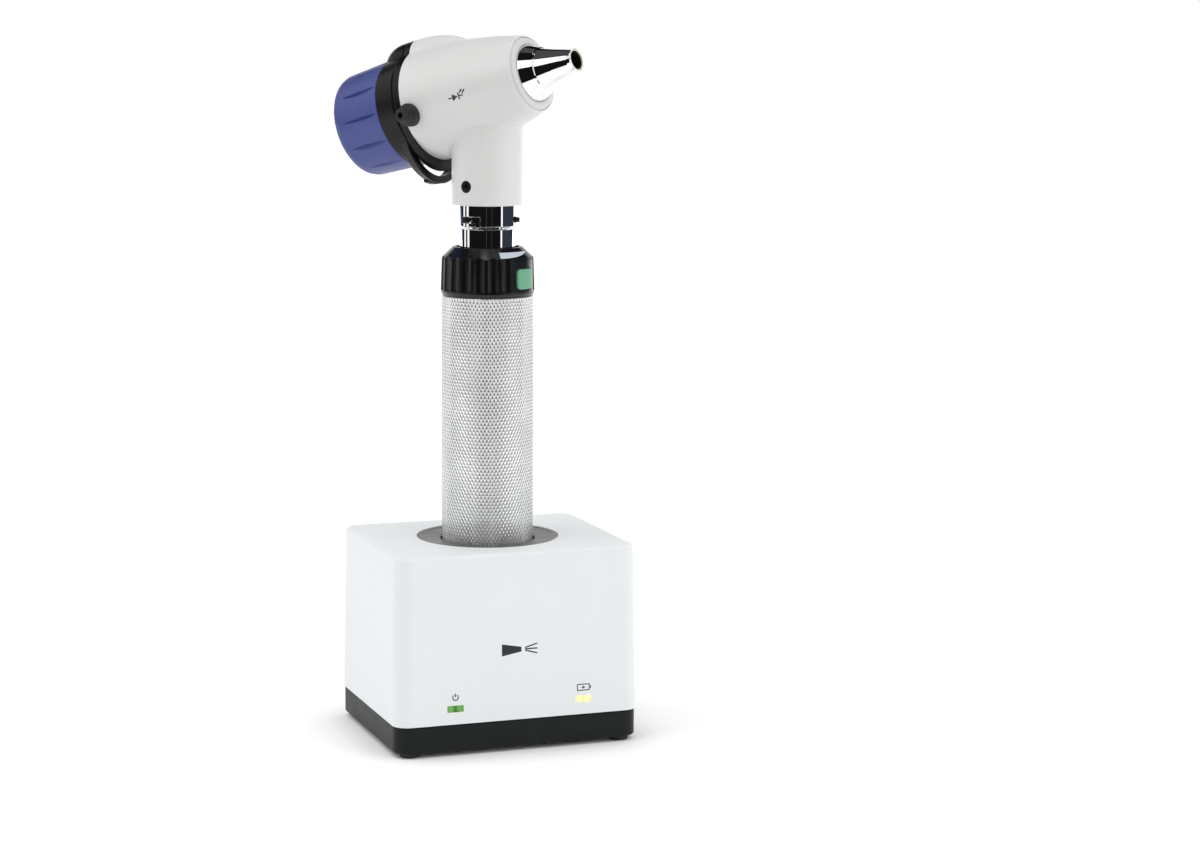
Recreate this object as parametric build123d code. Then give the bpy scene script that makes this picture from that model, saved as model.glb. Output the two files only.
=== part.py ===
from build123d import *
import math
import os

# An otoscope standing in its desktop charging stand. Millimetres, +Z up.
# The origin lies on the table, on the axis of the handle and its socket.
# The front of the stand faces -Y. The head is built in its own frame, with
# +X along the nose, +Z up across it and -Y on the side that carries the port.

# ---------------------------------------------------------------- stand
STAND_TOP = 62.8
STAND_SPLIT = 10.1            # where the white cover meets the black tray
STAND_FLOOR = 1.4             # underside of the tray
STAND_TOP_SIZE = (78.4, 64.0)
STAND_DRAFT = 0.016           # how far each side leans out per mm of height
STAND_CORNER = 5.0
STAND_WALL = 2.5
TRAY_FLOOR = 4.3
FOOT_PLACES = [(x, y) for x in (-34.5, 34.5) for y in (-28.5, 28.5)]
FOOT_RADIUS = 3.0
FOOT_TOP = 2.6
SCREW_PLACES = [(x, y) for x in (-34.3, 34.3) for y in (-16.0, 16.0)]
BOSS_RADIUS = 2.9
BOSS_BORE = 1.1               # the screws cut their threads in it

SOCKET_RADIUS = 15.1          # clear bore for the handle
CUP_RADIUS = 17.0
CUP_FLANGE = 20.5
CUP_BOTTOM = 9.0
CUP_FLOOR = 11.4
CENTRE_CONTACT = 1.8          # radius of the socket's middle contact
RING_CONTACT = (11.0, 8.0)    # outer and inner radius of the contact round it
HANDLE_BOTTOM = 12.0
BEZEL_RADIUS = 22.5
BEZEL_DEPTH = 1.2

BOARD_SIZE = (62.0, 57.0)
BOARD_BOTTOM = 12.6
BOARD_TOP = 14.2
BOARD_SHIFT = -0.7            # the board sits a little nearer to the front
BOARD_SCREW_PLACES = [(x, y) for x in (-27.0, 27.0) for y in (-24.0, 22.0)]
LAMP_SPREAD = 21.0            # front lights, left and right of centre
LAMP_HEIGHT = 15.0
WINDOW_SIZE = (5.3, 2.1)
WINDOW_BACK = -29.8
JACK_FACE = 29.6              # where the inlet's barrel leaves its body
JACK_HEIGHT = 20.2
JACK_BORE = 2.75

# ---------------------------------------------------------------- handle
HANDLE_RADIUS = 14.5
HANDLE_BORE = 13.3
CAP_TOP = 27.0
TUBE_BOTTOM = 20.0
TUBE_TOP = 139.8
BATTERY_RADIUS = 12.7
BATTERY_BOTTOM = 34.0
BATTERY_TOP = 126.0
NECK_RADIUS = 8.95
SPIGOT_RADIUS = 8.1
NECK_BORE = 6.2
NECK_SHOULDER = 161.6
NECK_TOP = 172.0
PIN_HEIGHT = 163.9
PIN_RADIUS = 0.8
PIN_REACH = 10.5
PIN_ANGLES = [-156.0, -36.0, 84.0]

# ---------------------------------------------------------------- brightness ring
RING_BOTTOM = 140.0
RING_TOP = 155.3
RING_RADIUS = 14.5
RING_LIP_RADIUS = 14.8
RING_CAVITY = 12.7
RING_CAVITY_TOP = 150.4
RING_BORE = 9.25
RING_SHOULDER = (14.4, 152.0)
RING_SHOULDER_TOP = 10.9
FLUTE_COUNT = 19
FLUTE_PITCH = 16.7
FLUTE_RADIUS = 2.4
FLUTE_CENTRE = 16.25
FLUTE_BOTTOM = 141.7
MARK_ANGLE = -62.0
MARK_SIZE = (6.4, 152.4, 154.1)     # half its width, and its lower and upper edge
MARK_HALF_ANGLE = 29.0
MARK_DEPTH = 0.3
BUTTON_ANGLE = -55.0
BUTTON_SIZE = (7.2, 6.4)
BUTTON_HEIGHT = 145.7
BUTTON_FACE = 15.25

# ---------------------------------------------------------------- head
HEAD_HEIGHT = 204.95          # where the nose axis crosses the handle axis
HEAD_YAW = -52.03
HEAD_TILT = 15.26
HEAD = Pos(0, 0, HEAD_HEIGHT) * Rot(0, 0, HEAD_YAW) * Rot(0, -HEAD_TILT, 0)

BARREL_BACK = -21.3
BARREL_BACK_RADIUS = 17.9
BARREL_MIDDLE = (-3.0, 16.4)
BARREL_FRONT = (16.4, 12.35)
BARREL_WALL = 1.9
NOSE_FACE = 18.1
NOSE_TIP = 34.1
STEM_RADIUS = 11.3
STEM_BOTTOM = 168.4
STEM_BORE = 9.35
STEM_BORE_TOP = 185.0
HUMP_AXIS = 13.25             # height of the hump's own axis above the nose axis
HUMP_RADIUS = 7.85
HUMP_LENGTH = 19.0
HUMP_TAIL_START = -26.5
HUMP_TAIL_LENGTH = 8.4
PIVOT_AXIS = 16.8             # height of the swing pivot above the nose axis
PIVOT_RADIUS = 1.5
PIVOT_CLEARANCE = 0.05
PIVOT_BOSS = 5.2              # solid round stub in the barrel that holds the pivot screw
PIVOT_HEAD = (2.0, 1.2)       # radius and height of the screw's head
PIVOT_SEAT = -29.4            # bottom of the recess that the head sits in

RIM_BACK = -24.0
SIGHT_RADIUS = 14.5
FRAME_FRONT = -24.15
FRAME_BACK = -31.0
FRAME_BACK_RADIUS = 17.35
FRAME_BORE = 13.6
FRAME_SPIGOT = 15.0
FRAME_SPIGOT_BACK = -35.0
LOOP_CENTRE = -10.4
LOOP_RADIUS = 14.5
LOOP_INNER = 12.2
LOOP_BACK = -28.0
LOOP_BACK_RADIUS = 13.2
EYEPIECE_BACK = -50.0
EYEPIECE_RADIUS = 16.5
NOTCH_COUNT = 12
LENS_RADIUS = 13.6
LENS_CLEAR = 12.5
LENS_FRONT = -39.2
LENS_BACK = -42.0
LENS_BULGE = 1.7

SLEEVE_RADIUS = 9.3
SLEEVE_BORE = 8.25
SLEEVE_BOTTOM = 161.9
SLEEVE_TOP = 184.0
WEB_BOTTOM = 173.0
WEB_TOP = 176.0
SLOT_HEIGHT = 2.1
LAMP_TOP = 189.6
LIGHT_PIPE_RADIUS = 0.7
LIGHT_PIPE_END = (12.0, 6.95) # along the nose, and below its axis
SCREW_ANGLE = -145.0
SCREW_HEIGHT = 174.4
PORT_PLACE = (-19.1, -3.6)    # along the nose and up, on the port side
PORT_RADIUS = 3.6
NIPPLE_RADIUS = 2.1
PORT_POCKET = [(0, 10), (PORT_RADIUS, 10), (PORT_RADIUS, 30), (0, 30)]


# ---------------------------------------------------------------- helpers
def rod(radius, bottom, top):
    """Cylinder on the Z axis between two heights."""
    return Pos(0, 0, (bottom + top) / 2) * Cylinder(radius, top - bottom)


def pipe(outer, inner, bottom, top):
    """Round tube on the Z axis between two heights."""
    return rod(outer, bottom, top) - rod(inner, bottom - 1, top + 1)


def turned(points):
    """Solid of revolution about Z from (radius, height) corners."""
    outline = make_face(Plane.XZ * Polyline(*points, close=True))
    return revolve(outline, Axis.Z)


def nose_turned(points):
    """Solid of revolution about the nose axis from (position, radius) corners."""
    outline = make_face(Plane.XZ * Polyline(*points, close=True))
    return revolve(outline, Axis.X)


def nose_rod(radius, back, front, up=0.0):
    """Cylinder along the nose between two positions, raised by up."""
    return Pos((back + front) / 2, 0, up) * Rot(0, 90, 0) * Cylinder(radius, front - back)


def block(x_range, y_range, z_range):
    """Box between three pairs of limits."""
    spans = [high - low for low, high in (x_range, y_range, z_range)]
    middles = [(high + low) / 2 for low, high in (x_range, y_range, z_range)]
    return Pos(*middles) * Box(*spans)


def sector(outer, inner, bottom, top, start, sweep):
    """Part of a round tube between two angles."""
    middle = Pos((outer + inner) / 2, (bottom + top) / 2)
    outline = Plane.XZ * (middle * Rectangle(outer - inner, top - bottom))
    return revolve(Rot(0, 0, start) * outline, Axis.Z, sweep)


def at_each(places, shape, height=0.0):
    """Copies of one shape at a list of (x, y) places, joined in one group."""
    return Compound(children=[Pos(x, y, height) * shape for x, y in places])


def coil(radius, wire, bottom, top, turns):
    """Round-wire spring on the Z axis, its ends half a wire inside the limits."""
    height = top - bottom - wire
    path = Pos(0, 0, bottom + wire / 2) * Helix(height / turns, height, radius)
    section = Plane(origin=path @ 0, z_dir=path % 0) * Circle(wire / 2)
    return sweep(section, path=path)


def near(value, target, slack=0.05):
    """Whether a number is close to a target."""
    return abs(value - target) < slack


# ---------------------------------------------------------------- stand parts
def stand_block(bottom, top, inset=0.0, corner=STAND_CORNER):
    """Tapering block with round corners that follows the stand's sides."""
    sections = []
    for height in (bottom, top):
        lean = 2 * STAND_DRAFT * (STAND_TOP - height) - 2 * inset
        outline = RectangleRounded(STAND_TOP_SIZE[0] + lean, STAND_TOP_SIZE[1] + lean, corner)
        sections.append(Pos(0, 0, height) * outline)
    return loft(sections, ruled=True)


def front_window(x):
    """Clear window through the front wall, flush with its leaning face."""
    half = WINDOW_SIZE[0] / 2
    rise = WINDOW_SIZE[1] / 2
    bar = block((x - half, x + half), (-40, WINDOW_BACK), (LAMP_HEIGHT - rise, LAMP_HEIGHT + rise))
    return bar & stand_block(STAND_SPLIT, STAND_TOP)


def build_stand():
    parts = {}
    outside = stand_block(STAND_SPLIT, STAND_TOP)
    outside = fillet(outside.faces().sort_by(Axis.Z)[-1].edges(), 1.2)
    inside = stand_block(STAND_SPLIT - 1, STAND_TOP - STAND_WALL, STAND_WALL, STAND_CORNER - STAND_WALL)
    housing = outside - inside
    boss = pipe(BOSS_RADIUS, BOSS_BORE, TRAY_FLOOR, STAND_TOP - STAND_WALL + 0.5)
    for x, y in SCREW_PLACES:
        housing += Pos(x, y, 0) * boss
    housing -= rod(BEZEL_RADIUS + 0.1, STAND_TOP - BEZEL_DEPTH, STAND_TOP + 1)
    housing -= rod(CUP_RADIUS + 0.1, STAND_TOP - 5, STAND_TOP)
    for x in (-LAMP_SPREAD, LAMP_SPREAD):
        housing -= front_window(x)
    housing -= Pos(0, 34, JACK_HEIGHT) * Rot(90, 0, 0) * Cylinder(4.2, 8)
    parts["charger_housing"] = housing

    tray_size = [side + 2 * STAND_DRAFT * (STAND_TOP - STAND_SPLIT) - 0.6 for side in STAND_TOP_SIZE]
    tray_depth = STAND_SPLIT - 0.5 - STAND_FLOOR
    tray = Pos(0, 0, STAND_FLOOR) * extrude(RectangleRounded(*tray_size, STAND_CORNER), tray_depth)
    tray = fillet(tray.faces().sort_by(Axis.Z)[0].edges(), 0.8)
    tray += stand_block(STAND_SPLIT - 0.5, STAND_SPLIT, 0.7)
    tray += stand_block(STAND_SPLIT, STAND_SPLIT + 2.0, STAND_WALL + 0.1, STAND_CORNER - STAND_WALL)
    tray -= stand_block(TRAY_FLOOR, STAND_SPLIT + 3, STAND_WALL + 1.6, 1.5)
    for x, y in BOARD_SCREW_PLACES:
        tray += Pos(x, y, 0) * pipe(2.8, 1.05, TRAY_FLOOR, BOARD_BOTTOM)
    for x, y in SCREW_PLACES:
        tray -= Pos(x, y, 0) * rod(BOSS_RADIUS + 0.15, TRAY_FLOOR, 20)
        tray -= Pos(x, y, 0) * rod(1.6, 0, 10)
        tray -= Pos(x, y, 0) * rod(2.6, 0, 3.2)
    for x, y in FOOT_PLACES:
        tray -= Pos(x, y, 0) * rod(FOOT_RADIUS, 0, FOOT_TOP)
    parts["charger_base"] = tray

    foot = fillet(rod(FOOT_RADIUS, 0, FOOT_TOP).edges().sort_by(Axis.Z)[0], 0.6)
    parts["rubber_feet"] = at_each(FOOT_PLACES, foot)

    screw = turned([(0, 2.1), (2.4, 2.1), (2.4, 3.2), (BOSS_BORE, 3.2), (BOSS_BORE, 14.0), (0, 14.6)])
    screw -= Pos(0, 0, 2.3) * (Box(3.0, 0.6, 1.2) + Box(0.6, 3.0, 1.2))
    parts["base_screws"] = at_each(SCREW_PLACES, screw)

    face = STAND_TOP - 0.05
    step = STAND_TOP - BEZEL_DEPTH
    parts["socket_bezel"] = turned([
        (BEZEL_RADIUS - 0.3, face), (BEZEL_RADIUS, face - 0.3), (BEZEL_RADIUS, step), (SOCKET_RADIUS, step),
        (SOCKET_RADIUS, face - 0.7), (SOCKET_RADIUS + 0.5, face - 0.45), (BEZEL_RADIUS - 1.4, face - 0.12),
        (BEZEL_RADIUS - 1.2, face)])

    flange = STAND_TOP - STAND_WALL
    cup = turned([
        (0, CUP_BOTTOM), (CUP_RADIUS, CUP_BOTTOM), (CUP_RADIUS, flange - 2.0), (CUP_FLANGE, flange - 1.5),
        (CUP_FLANGE, flange), (CUP_RADIUS, flange), (CUP_RADIUS, step), (SOCKET_RADIUS, step),
        (SOCKET_RADIUS, CUP_FLOOR), (0, CUP_FLOOR)])
    seat = CUP_FLOOR - 0.6
    parts["socket_cup"] = cup - rod(CENTRE_CONTACT, 0, 20) - pipe(*RING_CONTACT, seat, 20)
    button = rod(CENTRE_CONTACT, CUP_BOTTOM - 1, HANDLE_BOTTOM)
    parts["socket_centre_contact"] = button + rod(CENTRE_CONTACT + 0.8, CUP_BOTTOM - 1, CUP_BOTTOM)
    parts["socket_ring_contact"] = pipe(*RING_CONTACT, seat, HANDLE_BOTTOM)

    board = extrude(RectangleRounded(*BOARD_SIZE, 2.0), BOARD_TOP - BOARD_BOTTOM)
    board = Pos(0, BOARD_SHIFT, BOARD_BOTTOM) * board
    board -= rod(CUP_RADIUS + 0.6, 0, 30)
    for x, y in BOARD_SCREW_PLACES:
        board -= Pos(x, y, 0) * rod(1.3, 0, 30)
    parts["charger_board"] = board

    pan_screw = turned([(0, 7.0), (1.05, 7.4), (1.05, BOARD_TOP), (2.1, BOARD_TOP), (2.1, BOARD_TOP + 0.9),
                        (1.5, BOARD_TOP + 1.4), (0, BOARD_TOP + 1.4)])
    parts["board_screws"] = at_each(BOARD_SCREW_PLACES, pan_screw)

    chip = block((-3.0, 3.0), (-4.0, 4.0), (BOARD_TOP, BOARD_TOP + 1.6))
    capacitor = rod(3.1, BOARD_TOP, BOARD_TOP + 9.0)
    choke = fillet(rod(4.0, BOARD_TOP, BOARD_TOP + 5.0).edges().sort_by(Axis.Z)[-1], 1.0)
    places = [(chip, -24, 6), (chip, 24, -6), (capacitor, -16, 23), (capacitor, -24, -12), (choke, 16, 23)]
    parts["board_parts"] = Compound(children=[Pos(x, y, 0) * shape for shape, x, y in places])

    edge = BOARD_SHIFT - BOARD_SIZE[1] / 2
    for name, x in (("power", -LAMP_SPREAD), ("charge", LAMP_SPREAD)):
        lamp = block((x - 1.6, x + 1.6), (edge - 0.4, edge + 1.2), (BOARD_TOP, BOARD_TOP + 1.6))
        lamp += Pos(x, edge - 0.4, LAMP_HEIGHT) * Rot(90, 0, 0) * Cylinder(0.6, 0.3)
        parts[name + "_led"] = lamp
        parts[name + "_window"] = front_window(x)

    jack = block((-4.5, 4.5), (JACK_FACE - 9.5, JACK_FACE), (BOARD_TOP, JACK_HEIGHT + 4.4))
    jack += Pos(0, JACK_FACE + 1.2, JACK_HEIGHT) * Rot(90, 0, 0) * Cylinder(4.0, 2.4)
    jack -= Pos(0, JACK_FACE - 1.5, JACK_HEIGHT) * Rot(90, 0, 0) * Cylinder(JACK_BORE, 11)
    parts["dc_jack"] = jack
    pin = Pos(0, JACK_FACE - 2.7, JACK_HEIGHT) * Rot(90, 0, 0) * Cylinder(1.0, 8.6)
    parts["dc_jack_pin"] = fillet(pin.edges().sort_by(Axis.Y)[-1], 0.4)
    return parts


# ---------------------------------------------------------------- handle parts
def build_handle():
    parts = {}
    tube = pipe(HANDLE_RADIUS, HANDLE_BORE, TUBE_BOTTOM, TUBE_TOP)
    parts["handle_tube"] = tube

    plug = HANDLE_BORE - 0.1
    cap = turned([
        (5.0, HANDLE_BOTTOM), (plug, HANDLE_BOTTOM), (14.1, HANDLE_BOTTOM + 0.9), (14.1, TUBE_BOTTOM),
        (plug, TUBE_BOTTOM), (plug, 22.0), (12.4, 22.0), (12.4, 23.0), (plug, 23.0), (plug, CAP_TOP),
        (5.0, CAP_TOP)])
    cap -= block((-20, 20), (-0.9, 0.9), (HANDLE_BOTTOM - 1, HANDLE_BOTTOM + 1.2)) - rod(11.6, 0, 20)
    parts["handle_end_cap"] = cap
    parts["cap_seal"] = Pos(0, 0, 22.5) * Torus(12.85, 0.42)
    parts["cap_insulator"] = pipe(5.0, 2.5, HANDLE_BOTTOM + 0.4, CAP_TOP)
    parts["cap_contact"] = rod(2.5, HANDLE_BOTTOM, CAP_TOP) + rod(4.0, CAP_TOP, 28.0)
    parts["battery_spring"] = coil(7.0, 0.9, 28.0, BATTERY_BOTTOM, 3)

    battery = rod(BATTERY_RADIUS, BATTERY_BOTTOM, BATTERY_TOP)
    parts["battery_pack"] = fillet(battery.edges().filter_by(GeomType.CIRCLE), 0.8)
    parts["battery_terminal"] = fillet(rod(3.0, BATTERY_TOP, 127.5).edges().sort_by(Axis.Z)[-1], 0.4)
    parts["battery_contact"] = rod(3.0, 127.5, 128.3) + rod(1.2, 128.3, 142.5)
    parts["contact_disc"] = pipe(11.5, 1.2, 128.3, 131.3)

    neck = turned([
        (11.6, 128.0), (13.25, 128.0), (13.25, TUBE_TOP), (NECK_RADIUS, TUBE_TOP), (NECK_RADIUS, 154.2),
        (8.5, 154.2), (8.5, 154.8), (NECK_RADIUS, 154.8), (NECK_RADIUS, NECK_SHOULDER - 0.7),
        (NECK_RADIUS - 0.7, NECK_SHOULDER), (SPIGOT_RADIUS, NECK_SHOULDER), (SPIGOT_RADIUS, NECK_TOP - 0.6),
        (SPIGOT_RADIUS - 0.6, NECK_TOP), (NECK_BORE, NECK_TOP), (NECK_BORE, 137.6), (11.6, 137.6)])
    pin = Rot(0, 90, 0) * Cylinder(PIN_RADIUS, PIN_REACH - NECK_BORE)
    pin = Pos((NECK_BORE + PIN_REACH) / 2, 0, PIN_HEIGHT) * pin
    rounded = fillet(pin.edges().sort_by(Axis.X)[-1], 0.35)
    pins = []
    for angle in PIN_ANGLES:
        neck -= Rot(0, 0, angle) * pin
        pins.append(Rot(0, 0, angle) * rounded)
    parts["neck"] = neck
    parts["bayonet_pins"] = Compound(children=pins)
    parts["retaining_ring"] = pipe(10.0, 8.5, 154.2, 154.8) - block((0, 12), (-1.2, 1.2), (150, 160))
    parts["neck_insulator"] = pipe(NECK_BORE, 2.2, 141.0, 171.6) - rod(3.6, 140, 142)
    parts["contact_spring"] = coil(1.6, 0.5, 142.5, 150.0, 6)
    contact = rod(1.9, 150.0, 172.6)
    parts["neck_contact"] = fillet(contact.edges().sort_by(Axis.Z)[-1], 0.9)
    parts["dimmer_track"] = pipe(12.2, NECK_RADIUS, TUBE_TOP, 140.8)
    parts["slip_ring"] = pipe(9.3, NECK_RADIUS, 144.2, 147.2)
    return parts


# ---------------------------------------------------------------- brightness ring parts
def ring_cone(offset=0.0):
    """Everything inside the ring's sloping shoulder, moved in by an offset."""
    low_radius, low = RING_SHOULDER
    return turned([(0, low - 2), (low_radius - offset + 2, low - 2), (low_radius - offset, low),
                   (RING_SHOULDER_TOP - offset, RING_TOP), (0, RING_TOP)])


def build_ring():
    parts = {}
    low_radius, low = RING_SHOULDER
    ring = turned([
        (RING_CAVITY, RING_BOTTOM), (14.3, RING_BOTTOM), (RING_LIP_RADIUS, RING_BOTTOM + 1.1),
        (RING_LIP_RADIUS, FLUTE_BOTTOM), (RING_RADIUS, low - 0.6), (low_radius, low),
        (RING_SHOULDER_TOP, RING_TOP), (10.1, RING_TOP), (10.1, 154.0), (RING_BORE, 154.0),
        (RING_BORE, RING_CAVITY_TOP), (RING_CAVITY, RING_CAVITY_TOP)])
    first = BUTTON_ANGLE + (360 - FLUTE_PITCH * (FLUTE_COUNT - 1)) / 2
    flute = Pos(FLUTE_CENTRE, 0, 0) * rod(FLUTE_RADIUS, FLUTE_BOTTOM, RING_TOP + 1)
    for index in range(FLUTE_COUNT):
        ring -= Rot(0, 0, first + FLUTE_PITCH * index) * flute

    turn = Rot(0, 0, BUTTON_ANGLE)
    width, height = BUTTON_SIZE
    outline = Plane.YZ * RectangleRounded(width, height, 1.3)
    opening = Plane.YZ * RectangleRounded(width + 0.5, height + 0.5, 1.5)
    ring -= turn * Pos(10, 0, BUTTON_HEIGHT) * extrude(opening, 8)

    half, bottom, top = MARK_SIZE
    curve = ThreePointArc((-half - 2, bottom), (0, bottom + 0.45), (half, top))
    wedge = Plane.YZ * make_face(curve + Polyline((half, top), (-half - 2, top), (-half - 2, bottom)))
    wedge = Rot(0, 0, MARK_ANGLE) * Pos(5, 0, 0) * extrude(wedge, 12)
    wedge &= sector(20, 5, bottom, top, MARK_ANGLE - MARK_HALF_ANGLE, 2 * MARK_HALF_ANGLE)
    mark = (ring_cone() - ring_cone(MARK_DEPTH)) & wedge
    parts["level_mark"] = mark
    parts["brightness_ring"] = ring - mark

    wiper = sector(11.9, 10.4, 140.9, 141.2, 100, 60) + sector(12.65, 11.9, 140.9, 142.6, 118, 24)
    parts["dimmer_wiper"] = wiper

    body = Pos(11.7, 0, BUTTON_HEIGHT) * extrude(outline, 6)
    body &= rod(BUTTON_FACE, 130, 160)
    outer = body.faces().filter_by(GeomType.CYLINDER).sort_by(Axis.X)[-1].edges()
    body = fillet(outer, 0.45)
    body += block((10.6, 11.7), (-4.4, 4.4), (BUTTON_HEIGHT - 4.0, BUTTON_HEIGHT + 4.0))
    parts["power_button"] = turn * body
    leaf = block((10.35, 10.6), (-4.0, 4.0), (BUTTON_HEIGHT - 1.2, BUTTON_HEIGHT + 1.2))
    parts["button_leaf"] = turn * leaf
    return parts


# ---------------------------------------------------------------- head parts
def barrel(back, wall=0.0, front=17.3):
    """Body of the barrel: one long arc from the back rim to the nose end."""
    start = (back, BARREL_BACK_RADIUS - wall)
    middle = (BARREL_MIDDLE[0], BARREL_MIDDLE[1] - wall)
    end = (BARREL_FRONT[0], BARREL_FRONT[1] - wall)
    arc = ThreePointArc(start, middle, end)
    rest = Polyline(end, (front, end[1] - 0.35), (front, 0), (back, 0), start)
    return revolve(make_face(Plane.XZ * (arc + rest)), Axis.X)


def hump():
    """Front half of the pivot hump: an ellipse turned about its own axis."""
    arc = EllipticalCenterArc((BARREL_BACK, HUMP_AXIS), HUMP_LENGTH, HUMP_RADIUS, 0, arc_size=90)
    rest = Polyline(arc @ 1, (BARREL_BACK, HUMP_AXIS), arc @ 0)
    face = make_face(Plane.XZ * (arc + rest))
    return revolve(face, Axis((0, 0, HUMP_AXIS), (1, 0, 0)))


def hump_tail():
    """Back part of the pivot hump: straight at first, then falling away to the eyepiece."""
    centre = (HUMP_TAIL_START, HUMP_AXIS)
    arc = EllipticalCenterArc(centre, HUMP_TAIL_LENGTH, HUMP_RADIUS, 90, arc_size=90)
    rest = Polyline(arc @ 1, (FRAME_FRONT, HUMP_AXIS), (FRAME_FRONT, HUMP_AXIS + HUMP_RADIUS), arc @ 0)
    return revolve(make_face(Plane.XZ * (arc + rest)), Axis((0, 0, HUMP_AXIS), (1, 0, 0)))


def port_shape(points):
    """Turned piece on the port's axis, from (radius, reach) corners."""
    along, up = PORT_PLACE
    return Pos(along, 0, up) * Rot(90, 0, 0) * turned(points)


def build_head():
    parts = {}
    outer = barrel(BARREL_BACK) + hump()
    seam = outer.edges().filter_by(
        lambda e: near((e @ 0.5).Z, 16.3, 1.2) and BARREL_BACK + 0.5 < (e @ 0.5).X < 0)
    outer = fillet(seam, 1.8)
    front = outer.edges().filter_by(GeomType.CIRCLE).sort_by(Axis.X)[-1]
    outer = fillet(front, 0.8)
    shell = HEAD * outer + rod(STEM_RADIUS, STEM_BOTTOM, HEAD_HEIGHT)
    joint = shell.edges().filter_by(
        lambda e: near(math.hypot(*tuple(e @ 0.5)[:2]), STEM_RADIUS, 0.02) and (e @ 0.5).Z > STEM_BOTTOM + 5)
    shell = fillet(joint, 1.2)
    shell = fillet(shell.edges().filter_by(GeomType.CIRCLE).sort_by(Axis.Z)[0], 0.7)

    hollow = barrel(BARREL_BACK - 1, BARREL_WALL, 15.3)
    hollow -= nose_rod(PIVOT_BOSS, BARREL_BACK, -17.0, PIVOT_AXIS)
    hollow += nose_rod(11.75, 14.2, 20)
    shell -= HEAD * hollow
    shell -= rod(STEM_BORE, STEM_BOTTOM - 1, STEM_BORE_TOP)
    shell -= rod(5.0, STEM_BORE_TOP - 1, 198)
    shell -= HEAD * nose_rod(PIVOT_RADIUS, -30, -17.5, PIVOT_AXIS)
    shell -= HEAD * port_shape(PORT_POCKET)
    screw_hole = turned([(0, 7.5), (1.25, 7.5), (1.25, 10.2), (1.95, 10.9), (1.95, 14), (0, 14)])
    place_screw = Rot(0, 0, SCREW_ANGLE) * Pos(0, 0, SCREW_HEIGHT) * Rot(0, 90, 0)
    shell -= place_screw * screw_hole
    parts["head_shell"] = shell

    screw = turned([(0, 7.5), (1.25, 7.5), (1.25, 10.2), (1.95, 10.9), (1.95, 11.05), (0, 11.15)])
    screw -= Pos(0, 0, 11.0) * (Box(2.4, 0.5, 1.4) + Box(0.5, 2.4, 1.4))
    parts["stem_screw"] = place_screw * screw

    parts["nose_ring"] = HEAD * nose_turned([
        (14.3, 9.1), (14.3, 11.7), (16.9, 11.7), (17.7, 11.2), (NOSE_FACE, 10.3), (NOSE_FACE, 9.5),
        (17.8, 9.1)])

    # Three nested cones, from outside to inside: the metal one, the fibre ring and the view tube.
    cone_outside = [
        (18.1, 9.0), (22.3, 7.1), (22.5, 6.75), (24.4, 6.1), (27.2, 5.2), (30.4, 4.3), (32.6, 3.65),
        (33.6, 3.5)]
    cone_inside = [(33.0, 3.25), (30.0, 3.85), (26.5, 4.8), (23.0, 5.85), (18.0, 7.7), (12.0, 7.7)]
    tube_outside = [
        (33.9, 2.95), (33.0, 2.95), (29.9, 3.5), (26.4, 4.45), (22.9, 5.5), (17.8, 7.2), (12.0, 6.2)]
    tube_inside = [(6.0, 5.4), (12.0, 5.4), (22.5, 4.8), (29.6, 3.1), (33.0, 2.7), (33.9, 2.7)]
    tip = [(NOSE_TIP, 3.6), (NOSE_TIP, 3.25)]
    seat = [(12.0, 9.05), (17.8, 9.05)]
    parts["nose_cone"] = HEAD * nose_turned(cone_outside + tip + cone_inside + seat)
    parts["light_guide"] = HEAD * nose_turned([(33.9, 3.25)] + cone_inside + tube_outside[::-1])
    parts["view_tube"] = HEAD * nose_turned(tube_outside + [(6.0, 6.2)] + tube_inside)

    # The light pipe rises from the bulb, then bends over and runs under the nose axis to the fibre ring.
    tilt = math.radians(HEAD_TILT)
    along, below = LIGHT_PIPE_END
    end_x = along * math.cos(tilt) + below * math.sin(tilt)
    end_z = HEAD_HEIGHT + along * math.sin(tilt) - below * math.cos(tilt)
    corner_z = end_z - end_x * math.tan(tilt)
    route = Plane.XZ * FilletPolyline((0, LAMP_TOP), (0, corner_z), (end_x, end_z), radius=4.0)
    pipe_section = Plane.XY.offset(LAMP_TOP) * Circle(LIGHT_PIPE_RADIUS)
    parts["light_pipe"] = Rot(0, 0, HEAD_YAW) * sweep(pipe_section, path=route)

    parts["lamp_module"] = turned([
        (0, 172.6), (4.0, 172.6), (4.4, 173.0), (4.4, WEB_TOP), (7.6, WEB_TOP), (7.6, WEB_TOP + 1.6),
        (4.7, WEB_TOP + 1.6), (4.7, 186.5), (4.0, 187.4), (2.2, 187.4), (2.2, 186.8), (0, 186.8)])
    dome = rod(2.2, 186.8, LAMP_TOP)
    parts["lamp_lens"] = fillet(dome.edges().sort_by(Axis.Z)[-1], 1.4)

    sleeve = pipe(SLEEVE_RADIUS, SLEEVE_BORE, SLEEVE_BOTTOM, SLEEVE_TOP)
    sleeve += pipe(8.6, 4.5, WEB_BOTTOM, WEB_TOP)
    slot_bottom = PIN_HEIGHT - SLOT_HEIGHT / 2
    for angle in PIN_ANGLES:
        level = sector(12, 7, slot_bottom, slot_bottom + SLOT_HEIGHT, angle - 8.5, 42)
        mouth = sector(12, 7, SLEEVE_BOTTOM - 1, PIN_HEIGHT, angle + 16.5, 17)
        sleeve -= level + mouth
    sleeve -= place_screw * rod(1.25, 5, 14)
    parts["mount_sleeve"] = sleeve

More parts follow.
